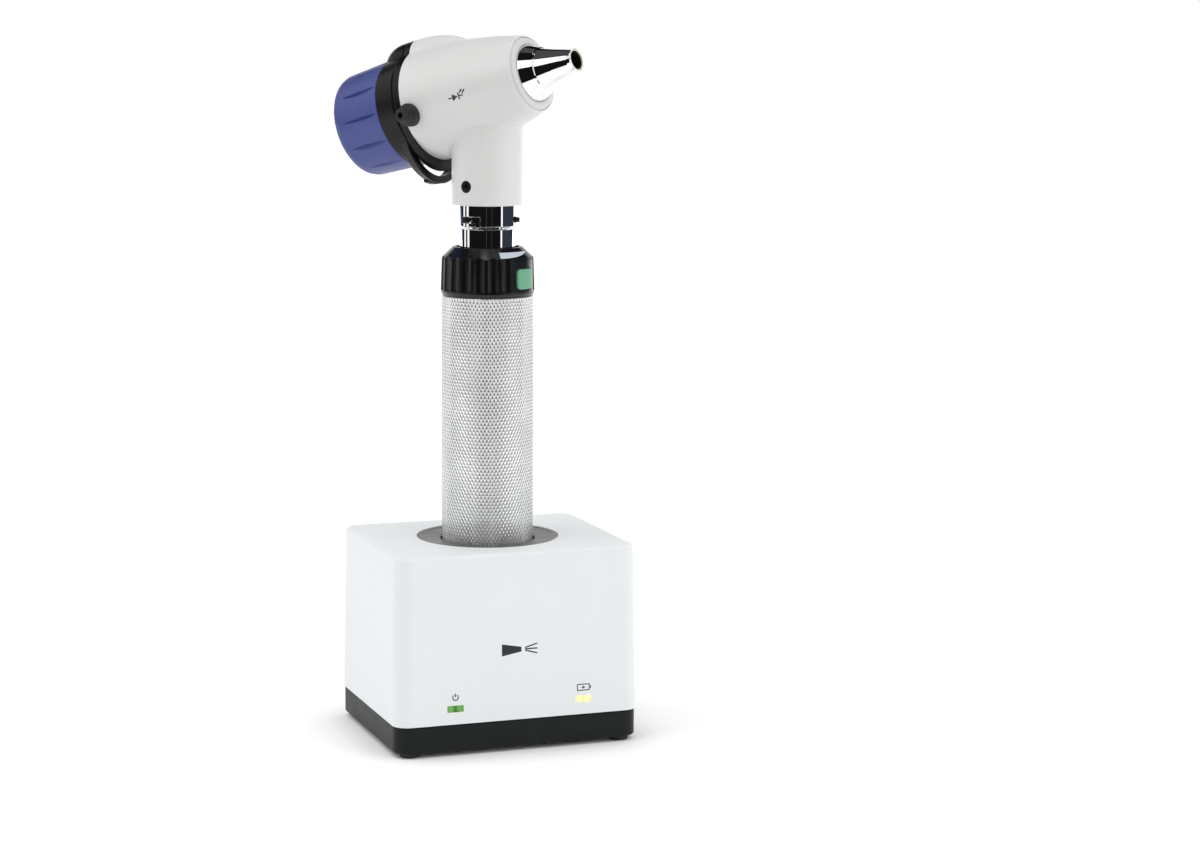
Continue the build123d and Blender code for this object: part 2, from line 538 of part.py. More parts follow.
    parts["insufflation_port"] = HEAD * port_shape([
        (0.95, 14.6), (PORT_RADIUS, 14.6), (PORT_RADIUS, 18.7), (3.3, 19.3), (2.7, 19.6), (2.4, 20.1),
        (NIPPLE_RADIUS, 20.3), (NIPPLE_RADIUS, 22.3), (1.85, 22.6), (0.95, 22.6)])

    rim = nose_rod(BARREL_BACK_RADIUS, RIM_BACK, BARREL_BACK)
    rim += nose_rod(HUMP_RADIUS, RIM_BACK, BARREL_BACK, HUMP_AXIS)
    rim += nose_rod(15.6, RIM_BACK, BARREL_BACK, -5.5)
    outer_edges = rim.edges().filter_by(lambda e: near((e @ 0.5).X, RIM_BACK, 0.01))
    rim = fillet(outer_edges, 0.35)
    rim += nose_turned([(BARREL_BACK, 14.6), (BARREL_BACK, 15.95), (-19.5, 15.9), (-19.5, 14.6)]) \
        - nose_rod(PIVOT_BOSS + 0.05, BARREL_BACK, -16.0, PIVOT_AXIS)
    rim -= nose_rod(SIGHT_RADIUS, RIM_BACK - 1, -15)
    rim -= nose_rod(PIVOT_RADIUS, RIM_BACK - 1, -15, PIVOT_AXIS)
    rim -= port_shape(PORT_POCKET)
    pivot_land = nose_rod(2.6, -26, -20, PIVOT_AXIS)
    seal_reach = RIM_BACK - 0.1
    groove = nose_turned([(-25, 15.0), (-25, 15.6), (-23.3, 15.6), (-23.3, 15.0)])
    seal = nose_turned([(seal_reach, 15.0), (seal_reach, 15.6), (-23.3, 15.6), (-23.3, 15.0)])
    parts["rear_rim"] = HEAD * (rim - (groove - pivot_land))
    parts["rim_seal"] = HEAD * (seal - pivot_land)

    head_radius, head_height = PIVOT_HEAD
    head_front = PIVOT_SEAT - 0.1
    head_back = head_front - head_height
    pivot = nose_rod(PIVOT_RADIUS, head_front, -17.6, PIVOT_AXIS)
    pivot += nose_rod(head_radius, head_back, head_front, PIVOT_AXIS)
    pivot -= Pos(head_back, 0, PIVOT_AXIS) * Box(1.2, 0.6, 5.0)
    parts["pivot_screw"] = HEAD * pivot
    return parts


# ---------------------------------------------------------------- swinging lens parts
def build_lens():
    parts = {}
    sight = nose_rod(FRAME_BORE, -60, 0)
    band = nose_turned([
        (FRAME_FRONT, 0), (FRAME_FRONT, BARREL_BACK_RADIUS - 0.35), (FRAME_FRONT - 0.35, BARREL_BACK_RADIUS),
        (FRAME_BACK, FRAME_BACK_RADIUS), (FRAME_BACK, 0)])
    tail = hump_tail()
    band += tail & block((FRAME_BACK, 0), (-10, 10), (0, 30))
    loop = Pos(0, 0, LOOP_CENTRE) * nose_turned([
        (FRAME_FRONT, LOOP_INNER), (FRAME_FRONT, LOOP_RADIUS - 0.4), (FRAME_FRONT - 0.4, LOOP_RADIUS),
        (LOOP_BACK + 0.6, LOOP_BACK_RADIUS + 0.2), (LOOP_BACK, LOOP_BACK_RADIUS - 0.4),
        (LOOP_BACK, LOOP_INNER)])
    thumb_tab = Pos(0, 0, LOOP_CENTRE) * nose_turned([
        (LOOP_BACK, LOOP_INNER), (LOOP_BACK, 14.0), (LOOP_BACK + 1.6, 14.2), (LOOP_BACK + 1.6, LOOP_INNER)])
    thumb_tab &= block((-40, 0), (-5, 5), (-30, -20))
    frame = band + loop + thumb_tab
    frame += nose_rod(FRAME_SPIGOT, FRAME_SPIGOT_BACK, FRAME_BACK)
    frame -= sight
    frame -= nose_rod(PIVOT_RADIUS + PIVOT_CLEARANCE, -40, -20, PIVOT_AXIS)
    frame -= nose_rod(PIVOT_HEAD[0] + 0.2, FRAME_BACK - 5, PIVOT_SEAT, PIVOT_AXIS)
    parts["lens_frame"] = HEAD * frame

    cap = tail & block((-40, FRAME_BACK), (-10, 10), (0, 30))
    cap -= nose_rod(FRAME_SPIGOT, -40, -20)
    parts["pivot_cap"] = HEAD * cap

    blue = nose_turned([
        (FRAME_BACK, FRAME_SPIGOT), (FRAME_BACK, FRAME_BACK_RADIUS - 0.3),
        (FRAME_BACK - 0.3, FRAME_BACK_RADIUS),
        (-47.6, EYEPIECE_RADIUS), (-49.0, EYEPIECE_RADIUS - 0.5), (-49.8, EYEPIECE_RADIUS - 1.4),
        (EYEPIECE_BACK, 14.2), (-49.7, 13.6), (-44.0, 12.6), (LENS_BACK, 12.6), (LENS_BACK, LENS_RADIUS),
        (FRAME_SPIGOT_BACK - 0.2, LENS_RADIUS), (FRAME_SPIGOT_BACK - 0.2, FRAME_SPIGOT)])
    wheel = turned([(0, 0), (24, -3.2), (30, 0), (24, 9.5), (0, 9.5)])
    wheel = Rot(90, 0, 0) * wheel
    notch = Pos(-40.0, 0, 30 + 16.05) * wheel
    for index in range(NOTCH_COUNT):
        blue -= Rot(360 / NOTCH_COUNT * index, 0, 0) * notch
    blue -= cap
    parts["eyepiece_ring"] = HEAD * blue

    curve = (LENS_CLEAR ** 2 + LENS_BULGE ** 2) / (2 * LENS_BULGE)
    glass = nose_rod(LENS_CLEAR, LENS_BACK - LENS_BULGE, LENS_FRONT + LENS_BULGE)
    glass &= Pos(LENS_FRONT + LENS_BULGE - curve, 0, 0) * Sphere(curve)
    glass &= Pos(LENS_BACK - LENS_BULGE + curve, 0, 0) * Sphere(curve)
    parts["lens"] = HEAD * (glass + nose_rod(LENS_RADIUS, LENS_BACK, LENS_FRONT))
    parts["lens_retainer"] = HEAD * nose_turned([
        (LENS_FRONT, LENS_RADIUS), (LENS_FRONT, 12.7), (-37.6, 12.9), (-37.6, LENS_RADIUS)])
    return parts


os.makedirs("parts", exist_ok=True)
all_parts = {}
for build in (build_stand, build_handle, build_ring, build_head, build_lens):
    all_parts.update(build())
for name, shape in all_parts.items():
    export_step(shape, f"parts/{name}.step")
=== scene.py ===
import math

import bmesh
import bpy
from mathutils import Matrix, Vector
from mathutils.bvhtree import BVHTree


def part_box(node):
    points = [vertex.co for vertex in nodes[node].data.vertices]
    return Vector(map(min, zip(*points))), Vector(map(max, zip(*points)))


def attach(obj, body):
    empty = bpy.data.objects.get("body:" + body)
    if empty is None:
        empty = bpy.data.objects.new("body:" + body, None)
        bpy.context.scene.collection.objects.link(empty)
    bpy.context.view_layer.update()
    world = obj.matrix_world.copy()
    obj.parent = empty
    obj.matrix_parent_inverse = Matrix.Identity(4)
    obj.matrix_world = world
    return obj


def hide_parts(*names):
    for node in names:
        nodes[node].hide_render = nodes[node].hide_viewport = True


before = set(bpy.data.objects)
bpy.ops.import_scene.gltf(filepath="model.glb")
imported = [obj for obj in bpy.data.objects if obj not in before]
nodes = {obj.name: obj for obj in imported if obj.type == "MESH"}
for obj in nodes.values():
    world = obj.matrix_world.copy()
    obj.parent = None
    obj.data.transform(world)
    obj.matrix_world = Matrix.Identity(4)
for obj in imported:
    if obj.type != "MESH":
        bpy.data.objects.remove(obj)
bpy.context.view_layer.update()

# An otoscope in its desktop charging stand. Metres, +Z up, in the frame of the CAD model: the origin
# lies on the table under the axis of the handle, and the stand's front faces -Y.

MM = 0.001


# ---------------------------------------------------------------- node helpers
def new_material(name):
    """A material with one Principled shader, and object coordinates ready to use."""
    mat = bpy.data.materials.new(name)
    mat.use_nodes = True
    tree = mat.node_tree
    shader = tree.nodes["Principled BSDF"]
    coords = tree.nodes.new("ShaderNodeTexCoord")
    return mat, tree, shader, coords.outputs["Object"]


def feed(tree, node, inputs):
    """Give a node its inputs, each a number or a link from another node."""
    for key, value in inputs.items():
        if isinstance(value, bpy.types.NodeSocket):
            tree.links.new(value, node.inputs[key])
        else:
            node.inputs[key].default_value = value


def add(tree, kind, inputs=None, **settings):
    """A new node with its settings and its inputs."""
    node = tree.nodes.new(kind)
    for key, value in settings.items():
        setattr(node, key, value)
    feed(tree, node, inputs or {})
    return node


def noise(tree, vector, size, detail=2.0, roughness=0.5):
    """Noise with features of about that size, in metres."""
    return add(tree, "ShaderNodeTexNoise", {
        "Vector": vector, "Scale": 1 / size, "Detail": detail, "Roughness": roughness}).outputs["Fac"]


def remap(tree, value, low, high, start=0.3, end=0.7):
    """A number that runs from low to high while the value runs from start to end."""
    return add(tree, "ShaderNodeMapRange", {
        "Value": value, "From Min": start, "From Max": end, "To Min": low, "To Max": high}).outputs["Result"]


def ramp(tree, value, stops):
    """A colour ramp with (place, colour) stops."""
    node = add(tree, "ShaderNodeValToRGB", {"Fac": value})
    elements = node.color_ramp.elements
    while len(elements) < len(stops):
        elements.new(0.5)
    for element, (place, colour) in zip(elements, stops):
        element.position = place
        element.color = (*colour, 1.0)
    return node.outputs["Color"]


def math_node(tree, operation, *values):
    """The result of a sum on numbers or links."""
    return add(tree, "ShaderNodeMath", dict(enumerate(values)), operation=operation).outputs["Value"]


def bump(tree, height, depth, normal=None):
    """A bump of that depth in metres from a height between 0 and 1."""
    inputs = {"Height": height, "Distance": depth, "Strength": 1.0}
    if normal is not None:
        inputs["Normal"] = normal
    return add(tree, "ShaderNodeBump", inputs).outputs["Normal"]


def soft_edges(tree, radius):
    """Normal that rounds each edge by that radius, or None where the radius is 0."""
    if not radius:
        return None
    return add(tree, "ShaderNodeBevel", {"Radius": radius}, samples=6).outputs["Normal"]


def tinted(colour, share):
    """A colour made darker or lighter by a share."""
    return tuple(min(1.0, c * (1 + share)) for c in colour)


def polar(tree, coords):
    """Angle about the Z axis, in turns, and distance from it, in metres."""
    parts = add(tree, "ShaderNodeSeparateXYZ", {"Vector": coords})
    x, y = parts.outputs["X"], parts.outputs["Y"]
    angle = math_node(tree, "DIVIDE", math_node(tree, "ARCTAN2", y, x), math.tau)
    x_square = math_node(tree, "MULTIPLY", x, x)
    y_square = math_node(tree, "MULTIPLY", y, y)
    return angle, math_node(tree, "SQRT", math_node(tree, "ADD", x_square, y_square))


# ---------------------------------------------------------------- kinds of material
def moulded(name, colour, roughness, grain=0.35 * MM, depth=0.012 * MM, mottle=0.02,
            coat=0.0, gloss=0.5, edge=0.0):
    """Moulded plastic: fine spark-eroded grain, polished in soft patches, with edges rounded by a radius."""
    mat, tree, shader, coords = new_material(name)
    patches = noise(tree, coords, 12 * MM, detail=3)
    fine = noise(tree, coords, grain, detail=3, roughness=0.6)
    grain_rough = remap(tree, fine, -0.05, 0.05)
    patch_rough = remap(tree, patches, roughness - 0.03, roughness + 0.03)
    feed(tree, shader, {
        "Base Color": ramp(tree, patches, [(0.3, tinted(colour, -mottle)), (0.7, tinted(colour, mottle))]),
        "Roughness": math_node(tree, "ADD", grain_rough, patch_rough),
        "Normal": bump(tree, fine, depth, soft_edges(tree, edge)),
        "Specular IOR Level": gloss, "Coat Weight": coat, "Coat Roughness": 0.25})
    return mat


def polished(name, colour, roughness, smudge):
    """Polished metal with faint finger marks and hairline scratches."""
    mat, tree, shader, coords = new_material(name)
    marks = noise(tree, coords, 2.5 * MM, detail=5, roughness=0.65)
    stretched = add(tree, "ShaderNodeMapping", {"Vector": coords, "Scale": (1.0, 1.0, 12.0)})
    hairs = noise(tree, stretched.outputs["Vector"], 0.5 * MM, detail=4, roughness=0.7)
    mark_rough = remap(tree, marks, roughness, roughness + smudge, 0.45, 0.75)
    hair_rough = remap(tree, hairs, 0.0, 0.03, 0.5, 0.8)
    feed(tree, shader, {
        "Metallic": 1.0,
        "Base Color": ramp(tree, marks, [(0.35, tinted(colour, -0.06)), (0.65, colour)]),
        "Roughness": math_node(tree, "ADD", mark_rough, hair_rough),
        "Normal": soft_edges(tree, 0.12 * MM)})
    return mat


def brushed_about_z(name, colour, roughness):
    """Turned metal: fine circular brush marks about the Z axis."""
    mark_width = 0.12 * MM
    marks_in_a_turn = 7.0
    mat, tree, shader, coords = new_material(name)
    angle, radius = polar(tree, coords)
    rings = add(tree, "ShaderNodeCombineXYZ", {
        "X": math_node(tree, "MULTIPLY", radius, 1 / mark_width),
        "Y": math_node(tree, "MULTIPLY", angle, marks_in_a_turn)})
    marks = noise(tree, rings.outputs["Vector"], 1.0, detail=4, roughness=0.7)
    cloud = noise(tree, coords, 6 * MM, detail=4)
    mark_shade = math_node(tree, "MULTIPLY", marks, 0.6)
    cloud_shade = math_node(tree, "MULTIPLY", cloud, 0.4)
    shade = math_node(tree, "ADD", mark_shade, cloud_shade)
    feed(tree, shader, {
        "Metallic": 1.0, "Anisotropic": 0.5,
        "Base Color": ramp(tree, shade, [(0.35, tinted(colour, -0.3)), (0.65, tinted(colour, 0.25))]),
        "Roughness": remap(tree, marks, roughness - 0.06, roughness + 0.1),
        "Normal": bump(tree, marks, 0.008 * MM, soft_edges(tree, 0.2 * MM))})
    return mat


def satin_metal(name, colour, roughness, grain=0.2 * MM, metallic=1.0):
    """Blasted or drawn metal with an even fine grain. A matt skin of oxide makes it less metallic."""
    mat, tree, shader, coords = new_material(name)
    fine = noise(tree, coords, grain, detail=4, roughness=0.65)
    cloud = noise(tree, coords, 9 * MM, detail=3)
    feed(tree, shader, {
        "Metallic": metallic,
        "Base Color": ramp(tree, cloud, [(0.3, tinted(colour, -0.06)), (0.7, tinted(colour, 0.04))]),
        "Roughness": remap(tree, fine, roughness - 0.06, roughness + 0.08),
        "Normal": bump(tree, fine, 0.006 * MM)})
    return mat


def rubber(name, colour):
    """Matt rubber with a fine grain and a dusty cloud."""
    mat, tree, shader, coords = new_material(name)
    fine = noise(tree, coords, 0.15 * MM, detail=4, roughness=0.7)
    cloud = noise(tree, coords, 4 * MM, detail=3)
    feed(tree, shader, {
        "Base Color": ramp(tree, cloud, [(0.3, tinted(colour, -0.2)), (0.7, tinted(colour, 0.3))]),
        "Roughness": remap(tree, fine, 0.5, 0.75),
        "Normal": bump(tree, fine, 0.015 * MM)})
    return mat


def lit_window(name, dark, bright, centre, strength):
    """Frosted light guide that glows, and is darker in front of its lamp."""
    lamp_reach = 2.6 * MM
    mat, tree, shader, coords = new_material(name)
    x = add(tree, "ShaderNodeSeparateXYZ", {"Vector": coords}).outputs["X"]
    away = math_node(tree, "ABSOLUTE", math_node(tree, "SUBTRACT", x, centre))
    frost = noise(tree, coords, 0.5 * MM, detail=4)
    blur = remap(tree, frost, -0.25, 0.25)
    reach = math_node(tree, "ADD", math_node(tree, "DIVIDE", away, lamp_reach), blur)
    shade = ramp(tree, reach, [(0.05, dark), (0.45, bright), (1.0, tinted(bright, -0.25))])
    feed(tree, shader, {
        "Base Color": shade, "Emission Color": shade, "Emission Strength": strength,
        "Roughness": remap(tree, frost, 0.25, 0.45)})
    return mat


def glass(name, tint):
    """Optical glass with a faint trace of dust."""
    mat, tree, shader, coords = new_material(name)
    dust = noise(tree, coords, 1.2 * MM, detail=6, roughness=0.7)
    feed(tree, shader, {
        "Transmission Weight": 1.0, "IOR": 1.5,
        "Base Color": ramp(tree, dust, [(0.4, tint), (0.8, tinted(tint, -0.05))]),
        "Roughness": remap(tree, dust, 0.0, 0.05, 0.55, 0.85)})
    return mat


def fibre_ends(name):
    """Polished ends of the light fibres: a fine warm speckle."""
    fibre_width = 0.08 * MM
    mat, tree, shader, coords = new_material(name)
    cells = add(tree, "ShaderNodeTexVoronoi", {"Vector": coords, "Scale": 1 / fibre_width})
    away = cells.outputs["Distance"]
    feed(tree, shader, {
        "Base Color": ramp(tree, away, [(0.0, (0.95, 0.83, 0.55)), (0.8, (0.45, 0.33, 0.15))]),
        "Roughness": remap(tree, away, 0.12, 0.4, 0.0, 0.8)})
    return mat


def board_mask(name):
    """Solder mask over copper: slightly lighter tracks under the green."""
    mat, tree, shader, coords = new_material(name)
    tracks = add(tree, "ShaderNodeTexBrick", {
        "Vector": coords, "Scale": 1 / (3 * MM), "Mortar Size": 0.03, "Color1": (0.02, 0.16, 0.07, 1),
        "Color2": (0.02, 0.19, 0.08, 1), "Mortar": (0.05, 0.30, 0.13, 1)})
    feed(tree, shader, {
        "Base Color": tracks.outputs["Color"],
        "Roughness": remap(tree, noise(tree, coords, 0.4 * MM), 0.25, 0.4)})
    return mat


# ---------------------------------------------------------------- materials of the pieces
POWER_X = sum(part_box("power_window"), Vector()).x / 2
CHARGE_X = sum(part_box("charge_window"), Vector()).x / 2

white_stand = moulded("stand_white", (0.735, 0.760, 0.770), 0.42,
                      grain=0.3 * MM, depth=0.006 * MM, mottle=0.006, gloss=0.3)
black_stand = moulded("stand_black", (0.0045, 0.0062, 0.0068), 0.42,
                      grain=0.25 * MM, depth=0.010 * MM, mottle=0.1, gloss=0.22)
head_white = moulded("head_white", (0.660, 0.660, 0.652), 0.36,
                     grain=0.5 * MM, depth=0.006 * MM, mottle=0.006, coat=0.12, gloss=0.4)
nose_white = moulded("nose_white", (0.600, 0.605, 0.597), 0.45,
                     grain=0.4 * MM, depth=0.008 * MM, mottle=0.01)
grip_blue = moulded("grip_blue", (0.046, 0.064, 0.250), 0.40,
                    grain=0.32 * MM, depth=0.022 * MM, mottle=0.05, gloss=0.45)
ring_black = moulded("ring_black", (0.0042, 0.005, 0.0056), 0.18,
                     grain=0.3 * MM, depth=0.010 * MM, mottle=0.15, gloss=0.40, edge=0.16 * MM)
frame_black = moulded("frame_black", (0.004, 0.004, 0.004), 0.30,
                      grain=0.4 * MM, depth=0.010 * MM, mottle=0.15, gloss=0.22, edge=0.25 * MM)
inner_black = moulded("inner_black", (0.012, 0.012, 0.012), 0.6,
                      grain=0.4 * MM, depth=0.02 * MM, mottle=0.15, gloss=0.3)
mark_pale = moulded("mark_pale", (0.50, 0.55, 0.64), 0.45, grain=0.2 * MM, depth=0.004 * MM)
button_green = moulded("button_green", (0.120, 0.340, 0.205), 0.30,
                       grain=0.25 * MM, depth=0.006 * MM, mottle=0.03, edge=0.4 * MM)
battery_wrap = moulded("battery_wrap", (0.04, 0.10, 0.28), 0.25,
                       grain=1.5 * MM, depth=0.02 * MM, mottle=0.1)
print_grey = moulded("print_grey", (0.030, 0.031, 0.036), 0.5,
                     grain=0.12 * MM, depth=0.002 * MM, mottle=0.1, gloss=0.2)
led_body = moulded("led_body", (0.85, 0.85, 0.75), 0.3, grain=0.3 * MM, depth=0.004 * MM)
board_dark = moulded("board_dark", (0.03, 0.03, 0.033), 0.5,
                     grain=0.3 * MM, depth=0.01 * MM, mottle=0.1)
chrome = polished("chrome", (0.90, 0.905, 0.92), 0.012, 0.03)
brass = polished("brass", (0.80, 0.60, 0.28), 0.16, 0.08)
pin_black = satin_metal("pin_black", (0.03, 0.03, 0.03), 0.32)
screw_steel = satin_metal("screw_steel", (0.45, 0.45, 0.46), 0.3)
spring_steel = satin_metal("spring_steel", (0.60, 0.60, 0.62), 0.25)
knurl_alu = satin_metal("knurl_alu", (0.765, 0.775, 0.77), 0.20, grain=0.12 * MM, metallic=0.74)
cap_alu = brushed_about_z("cap_alu", (0.75, 0.75, 0.76), 0.3)
bezel_steel = brushed_about_z("bezel_steel", (0.25, 0.25, 0.245), 0.34)
lamp_alu = brushed_about_z("lamp_alu", (0.70, 0.70, 0.70), 0.3)
foot_rubber = rubber("foot_rubber", (0.010, 0.010, 0.010))
seal_rubber = rubber("seal_rubber", (0.014, 0.014, 0.014))
window_green = lit_window("window_green", (0.02, 0.09, 0.012), (0.11, 0.34, 0.06), POWER_X, 0.25)
window_amber = lit_window("window_amber", (0.80, 0.55, 0.25), (0.98, 0.78, 0.38), CHARGE_X, 0.45)
lens_glass = glass("lens_glass", (0.97, 0.99, 1.0))
fibre = fibre_ends("fibre")
board_green = board_mask("board_green")

FINISHES = {
    "charger_housing": white_stand, "charger_base": black_stand, "rubber_feet": foot_rubber,
    "base_screws": screw_steel, "socket_bezel": bezel_steel, "socket_cup": inner_black,
    "socket_centre_contact": brass, "socket_ring_contact": brass, "charger_board": board_green,
    "board_screws": screw_steel, "board_parts": board_dark, "power_led": led_body,
    "charge_led": led_body, "power_window": window_green, "charge_window": window_amber,
    "dc_jack": board_dark, "dc_jack_pin": brass,
    "handle_tube": knurl_alu, "handle_end_cap": cap_alu, "cap_seal": seal_rubber,
    "cap_insulator": inner_black, "cap_contact": brass, "battery_spring": spring_steel,
    "battery_pack": battery_wrap, "battery_terminal": brass, "battery_contact": brass,
    "contact_disc": inner_black, "neck": chrome, "bayonet_pins": pin_black,
    "retaining_ring": pin_black, "neck_insulator": inner_black, "contact_spring": spring_steel,
    "neck_contact": brass, "dimmer_track": board_green, "slip_ring": brass,
    "brightness_ring": ring_black, "level_mark": mark_pale, "dimmer_wiper": brass,
    "power_button": button_green, "button_leaf": brass,
    "head_shell": head_white, "stem_screw": pin_black, "nose_ring": nose_white, "nose_cone": chrome,
    "light_guide": fibre, "view_tube": inner_black, "light_pipe": fibre, "lamp_module": lamp_alu,
    "lamp_lens": lens_glass, "mount_sleeve": chrome, "insufflation_port": seal_rubber,
    "rear_rim": frame_black, "rim_seal": seal_rubber, "pivot_screw": screw_steel,
    "lens_frame": frame_black, "eyepiece_ring": grip_blue, "pivot_cap": frame_black,
    "lens": lens_glass, "lens_retainer": inner_black,
}
for name, finish in FINISHES.items():
    mesh = nodes[name].data
    if not mesh.materials:
        mesh.materials.append(finish)
    for index in range(len(mesh.materials)):
        mesh.materials[index] = finish


def add_piece(bm, name, finish, body, replaces=None):
    """Object made of that mesh, which rides a body and may stand in for a node."""
    mesh = bpy.data.meshes.new(name)
    bm.to_mesh(mesh)
    bm.free()
    mesh.materials.append(finish)
    piece = bpy.data.objects.new(name, mesh)
    bpy.context.scene.collection.objects.link(piece)
    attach(piece, body)
    if replaces:
        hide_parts(replaces)


# ---------------------------------------------------------------- knurled handle
KNURL_COUNT = 76              # diamonds round the tube
KNURL_PERIOD = 2.14 * MM      # height of a diamond
KNURL_DEPTH = 0.14 * MM
KNURL_TOP = 0.50              # how far each diamond's top reaches towards its corners, as a share
KNURL_CROWN = 0.012 * MM      # fall from the middle of that top to its own corners
TUBE_BORE = 13.3 * MM         # radius
TUBE_BEVEL = 0.35 * MM        # height of the bevel at each end of the tube
BEVEL_DEPTH = KNURL_DEPTH + 0.05 * MM
SAME_POINT = 0.0005 * MM


def add_diamonds(bm, radius, start, end):
    """Skin of the tube from one height to another: raised diamonds between crossing V grooves."""
    rows = 2 * round((end - start) / KNURL_PERIOD)
    columns = 2 * KNURL_COUNT
    rise = (end - start) / rows
    turn = math.tau / columns
    sides = [(1, 0), (0, 1), (-1, 0), (0, -1)]
    valleys = {}

    def point(column, row, depth):
        height = min(max(start + row * rise, start), end)
        reach = radius - depth
        return (reach * math.cos(column * turn), reach * math.sin(column * turn), height)

    def valley(column, row):
        if not 0 <= row <= rows:
            return None
        key = (column % columns, row)
        if key not in valleys:
            valleys[key] = bm.verts.new(point(*key, KNURL_DEPTH))
        return valleys[key]

    def top_corner(column, row, dx, dy):
        return bm.verts.new(point(column + KNURL_TOP * dx, row + KNURL_TOP * dy, KNURL_CROWN))

    for row in range(rows + 1):
        for column in range(row % 2, columns, 2):
            centre = bm.verts.new(point(column, row, 0.0))
            corners = [top_corner(column, row, dx, dy) for dx, dy in sides]
            outer = [valley(column + dx, row + dy) for dx, dy in sides]
            for k in range(4):
                after = (k + 1) % 4
                if outer[k] is not None and outer[after] is not None:
                    bm.faces.new((centre, corners[k], corners[after]))
                    bm.faces.new((corners[k], outer[k], outer[after], corners[after]))
    bmesh.ops.remove_doubles(bm, verts=bm.verts, dist=SAME_POINT)


def grow_rim(bm, rim, radius, height):
    """Extrude a rim to a circle of that radius at that height, and return the new rim."""
    grown = bmesh.ops.extrude_edge_only(bm, edges=rim)["geom"]
    for vert in grown:
        if isinstance(vert, bmesh.types.BMVert):
            flat = Vector((vert.co.x, vert.co.y, 0)).normalized() * radius
            vert.co = (flat.x, flat.y, height)
    return [edge for edge in grown if isinstance(edge, bmesh.types.BMEdge)]


def knurled_tube():
    """The handle's tube, with its knurl, bevelled ends and bore."""
    low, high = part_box("handle_tube")
    start, end = low.z + TUBE_BEVEL, high.z - TUBE_BEVEL
    bm = bmesh.new()
    add_diamonds(bm, high.x, start, end)
    open_edges = [e for e in bm.edges if e.is_boundary]
    for skin_end, tube_end in ((start, low.z), (end, high.z)):
        rim = [e for e in open_edges if abs(e.verts[0].co.z - skin_end) < SAME_POINT]
        bevelled = grow_rim(bm, rim, high.x - BEVEL_DEPTH, tube_end)
        grow_rim(bm, bevelled, TUBE_BORE, tube_end)
    bmesh.ops.bridge_loops(bm, edges=[e for e in bm.edges if e.is_boundary])
    bmesh.ops.recalc_face_normals(bm, faces=bm.faces)
    add_piece(bm, "knurled_tube", knurl_alu, "handle", replaces="handle_tube")


knurled_tube()


# ---------------------------------------------------------------- printed marks
# The outlines are in millimetres, with x to the right and y up.
INK = 0.015 * MM
INK_STEP = 0.4                # millimetres between points, so that a mark follows a curve
LIGHT_CONE_PLACE = (0.15 * MM, 32.3 * MM)
POWER_MARK_PLACE = (POWER_X, 18.6 * MM)
BATTERY_MARK_PLACE = (CHARGE_X, 18.65 * MM)
LED_MARK_ALONG = -1.4 * MM    # along the barrel, from the handle's axis
LED_MARK_AROUND = 98          # degrees from the top of the barrel

HEAD_CENTRE = Vector((0, 0, 204.95 * MM))
HEAD_TURN = Matrix.Rotation(math.radians(-52.03), 3, "Z") @ Matrix.Rotation(math.radians(-15.26), 3, "Y")
HEAD_AXIS = HEAD_TURN @ Vector((1, 0, 0))
HEAD_SIDE = HEAD_TURN @ Vector((0, -1, 0))
HEAD_UP = HEAD_TURN @ Vector((0, 0, 1))


def arc(radius, start, end, steps=24):
    """Points on an arc about the origin, from one angle to another, in degrees."""
    angles = [math.radians(start + (end - start) * k / steps) for k in range(steps + 1)]
    return [(radius * math.cos(a), radius * math.sin(a)) for a in angles]


def bar(start, end, width):
    """A stroke from one point to another."""
    along = (Vector(end) - Vector(start)).normalized() * width / 2
    side = Vector((-along.y, along.x))
    return [tuple(Vector(p) + side * way) for p, way in ((start, 1), (start, -1), (end, -1), (end, 1))]


def light_cone():
    """A lamp head with three rays."""
    lamp = [(-6.0, -1.9), (0.4, -0.75), (0.4, 0.75), (-6.0, 1.9)]
    return [lamp] + [bar((1.6, 0.42 * k), (5.6, 1.55 * k), 0.42) for k in (-1, 0, 1)]


def power_symbol():
    """An open ring with a stroke in its gap."""
    half_gap = 35
    first, last = 90 + half_gap, 450 - half_gap
    return [arc(1.05, first, last) + arc(0.72, last, first), bar((0, 0.15), (0, 1.25), 0.34)]


def slit_box(half_width, half_height):
    """Corners of a rectangle that a thin slit opens on the right."""
    slit = 0.02
    return [(half_width, slit), (half_width, half_height), (-half_width, half_height),
            (-half_width, -half_height), (half_width, -half_height), (half_width, -slit)]


def battery_symbol():
    """A battery with its terminal, and a spark inside."""
    case = slit_box(2.1, 1.1) + slit_box(1.8, 0.8)[::-1]
    spark = [(0.35, 0.62), (-0.85, -0.12), (-0.08, -0.12)]
    return [case, bar((2.2, 0), (2.55, 0), 1.0), spark + [(-x, -y) for x, y in spark]]


def arrow(x, y):
    """An arrow that starts at a point and rises to the right."""
    shaft = bar((x, y), (x + 0.65, y + 0.65), 0.34)
    tip = [(x + 1.2, y + 1.2), (x + 0.3, y + 0.9), (x + 0.9, y + 0.3)]
    return [shaft, tip]


def led_symbol():
    """A diode on its two leads, with two arrows of light."""
    triangle = [(-1.5, 1.1), (-1.5, -1.1), (0.35, 0.0)]
    plate = bar((0.7, -1.1), (0.7, 1.1), 0.42)
    leads = [bar((-2.9, 0.0), (-1.6, 0.0), 0.38), bar((0.95, 0.0), (2.2, 0.0), 0.38)]
    return [triangle, plate] + leads + arrow(1.1, 0.75) + arrow(2.0, 0.45)


def surface_of(name):
    """Search tree of a node's own surface."""
    mesh = nodes[name].data
    return BVHTree.FromPolygons([v.co for v in mesh.vertices], [p.vertices for p in mesh.polygons])


